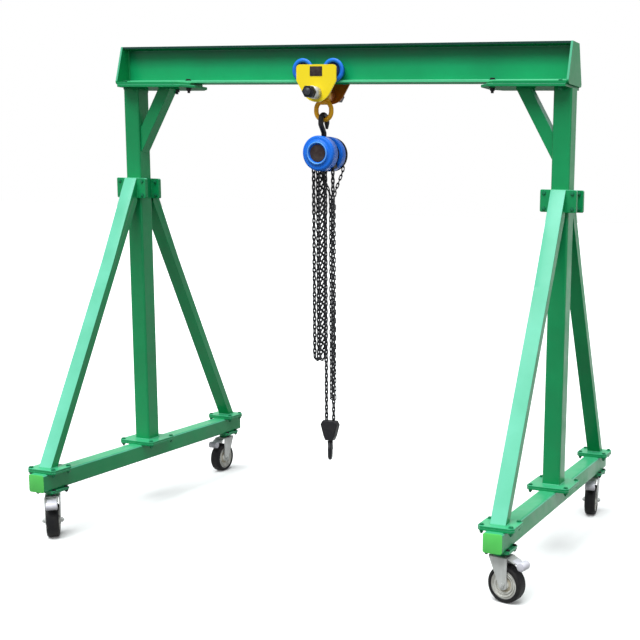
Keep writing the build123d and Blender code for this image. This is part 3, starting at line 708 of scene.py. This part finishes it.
# A link's wire, inner length and inner width, then levels and widths counted from the middle of the hoist
LOAD_LINK = (0.0074, 0.0200, 0.0054)
HAND_LINK = (0.0058, 0.0215, 0.0046)
CHAIN_TOP = -0.060
LOAD_CHAIN_LOW = -1.310
SLACK_LOW = -1.002
HAND_LOW = -1.201
HAND_WHEEL_R = 0.064

falls = [[at(x, 0, CHAIN_TOP), at(x, 0, LOAD_CHAIN_LOW)] for x in (0.007, 0.047)]
chain("load_chain_links", falls, *LOAD_LINK, "load_chain")

bights = []
for left, right, y in ((-0.057, -0.023, 0.0), (-0.046, -0.014, 0.019)):
    radius = (right - left) / 2
    middle = at(left + radius, y, SLACK_LOW + radius)
    turn = arc(middle, radius, 180, 360)[1:]
    bights.append([at(left, y, CHAIN_TOP), at(left, y, SLACK_LOW + radius), *turn, at(right, y, CHAIN_TOP)])
chain("slack_chain_links", bights, *LOAD_LINK, "slack_chain")

down = [(-HAND_WHEEL_R, 0), (-HAND_WHEEL_R, -0.070), (-0.009, -0.190), (-0.009, HAND_LOW)]
back_up = [(0.013, HAND_LOW), (0.013, -0.190), (HAND_WHEEL_R, -0.070), (HAND_WHEEL_R, 0)]
down, back_up = [rounded([at(x, HAND_Y, z) for x, z in line], 0.030) for line in (down, back_up)]
bottom = arc(at(0.002, HAND_Y, HAND_LOW), 0.011, 180, 360)
over = arc(at(0, HAND_Y, 0), HAND_WHEEL_R, 0, 180)
chain("hand_chain_links", [down + bottom[1:] + back_up[1:] + over[1:]], *HAND_LINK, "hand_chain")


# Trolley and hoist trim

width, thickness, height = 0.065, 0.0016, 0.044
bm = bmesh.new()
place = Matrix.Translation((TROLLEY_X, -0.0726, 2.205))
bmesh.ops.create_cube(bm, size=1, matrix=place @ Matrix.Diagonal((width, thickness, height, 1)))
rounded_edges(bm, bm.edges[:], thickness * 0.3)
piece("trolley_bare_plate", bm, plate_dark, "trolley")

bm = bmesh.new()
cylinder(bm, 0.0405, 0.0, 0.0015, 48, bevel=0.0004)
bmesh.ops.transform(bm, matrix=facing((TROLLEY_X, -0.0612, HOIST_Z), FRONT), verts=bm.verts)
piece("hoist_bare_disc", bm, plate_dark, "hoist")

# A paler blue ring on the front cover's rim: a painted highlight
bm = bmesh.new()
section_place = Matrix.Translation((0.0500, 0, 0)) @ Matrix.Rotation(pi / 2, 4, "X")
section = bmesh.ops.create_circle(bm, segments=10, radius=0.0034, matrix=section_place)["verts"]
bmesh.ops.spin(bm, geom=section + all_edges(section), cent=(0, 0, 0), axis=(0, 0, 1), angle=2 * pi,
               steps=TURNED_STEPS, use_merge=True)
bmesh.ops.transform(bm, matrix=facing((TROLLEY_X, -0.0680, HOIST_Z), FRONT), verts=bm.verts)
piece("hoist_highlight_ring", bm, ring_highlight_blue, "hoist")


# Floor, light and camera

SKY_COLOUR = (0.94, 0.98, 1.0, 1)
SKY_STRENGTH = 0.34
FLOOR_REFLECTS = (0.13, 0.13, 0.12, 1)
FLOOR_GLOW = 0.10


def shown_white(tree, unseen, seen):
    """Mixes two shaders: seen for the camera, gloss and glass, unseen for the light that falls on things."""
    path = tree.nodes.new("ShaderNodeLightPath")
    first, second = [tree.nodes.new("ShaderNodeMath") for _ in range(2)]
    first.operation = second.operation = "MAXIMUM"
    tree.links.new(path.outputs["Is Camera Ray"], first.inputs[0])
    tree.links.new(path.outputs["Is Glossy Ray"], first.inputs[1])
    tree.links.new(first.outputs[0], second.inputs[0])
    tree.links.new(path.outputs["Is Transmission Ray"], second.inputs[1])
    mix = tree.nodes.new("ShaderNodeMixShader")
    for index, output in enumerate((second.outputs[0], unseen.outputs[0], seen.outputs[0])):
        tree.links.new(output, mix.inputs[index])
    return mix.outputs[0]


world = bpy.data.worlds.new("studio")
bpy.context.scene.world = world
world.use_nodes = True
tree = world.node_tree
soft = tree.nodes["Background"]
soft.inputs["Color"].default_value = SKY_COLOUR
soft.inputs["Strength"].default_value = SKY_STRENGTH
white = tree.nodes.new("ShaderNodeBackground")
white.inputs["Color"].default_value = (1, 1, 1, 1)
tree.links.new(shown_white(tree, soft, white), tree.nodes["World Output"].inputs["Surface"])

bm = bmesh.new()
bmesh.ops.create_grid(bm, x_segments=1, y_segments=1, size=60)
mesh = bpy.data.meshes.new("floor")
bm.to_mesh(mesh)
bm.free()
floor = bpy.data.objects.new("floor", mesh)
bpy.context.scene.collection.objects.link(floor)
floor_finish = Finish("floor_white", (0.86, 0.86, 0.86), 0.95, specular=0.0)
tree = floor_finish.tree
glow = tree.nodes.new("ShaderNodeEmission")
glow.inputs["Strength"].default_value = FLOOR_GLOW
lit = tree.nodes.new("ShaderNodeAddShader")
tree.links.new(floor_finish.shader.outputs[0], lit.inputs[0])
tree.links.new(glow.outputs[0], lit.inputs[1])
dim = tree.nodes.new("ShaderNodeBsdfDiffuse")
dim.inputs["Color"].default_value = FLOOR_REFLECTS
tree.links.new(shown_white(tree, dim, lit), tree.nodes["Material Output"].inputs["Surface"])
mesh.materials.append(floor_finish.material)


def lamp(name, direction, spread, strength, colour=(1, 1, 1)):
    """A far lamp that shines along a direction, its strength the same everywhere; spread is in degrees."""
    light = bpy.data.lights.new(name, "SUN")
    light.energy, light.angle, light.color = strength, radians(spread), colour
    made = bpy.data.objects.new(name, light)
    made.rotation_euler = Vector(direction).to_track_quat("-Z", "Y").to_euler()
    bpy.context.scene.collection.objects.link(made)


lamp("sky", (0.05, 0.40, -1.0), 56, 5.0, (0.97, 1.0, 1.0))
lamp("fill", (-0.70, 0.60, -0.25), 40, 0.28)

# The camera as solved on the frame's straight edges; the shift stands for the photo's crop
CAMERA_PLACE = (2.6472, -4.8565, 1.6700)
HEADING, DIP, ROLL = 0.3129, 0.1723, 0.0293
camera_data = bpy.data.cameras.new("camera")
camera_data.sensor_width = 36.0
camera_data.lens = 62.64
camera_data.shift_x, camera_data.shift_y = -0.3504, 0.1058
camera = bpy.data.objects.new("camera", camera_data)
camera.matrix_world = (Matrix.Translation(CAMERA_PLACE) @ Matrix.Rotation(HEADING, 4, "Z")
                       @ Matrix.Rotation(pi / 2 - DIP, 4, "X") @ Matrix.Rotation(ROLL, 4, "Z"))
bpy.context.scene.collection.objects.link(camera)
bpy.context.scene.camera = camera
bpy.context.scene.view_settings.view_transform = "Standard"
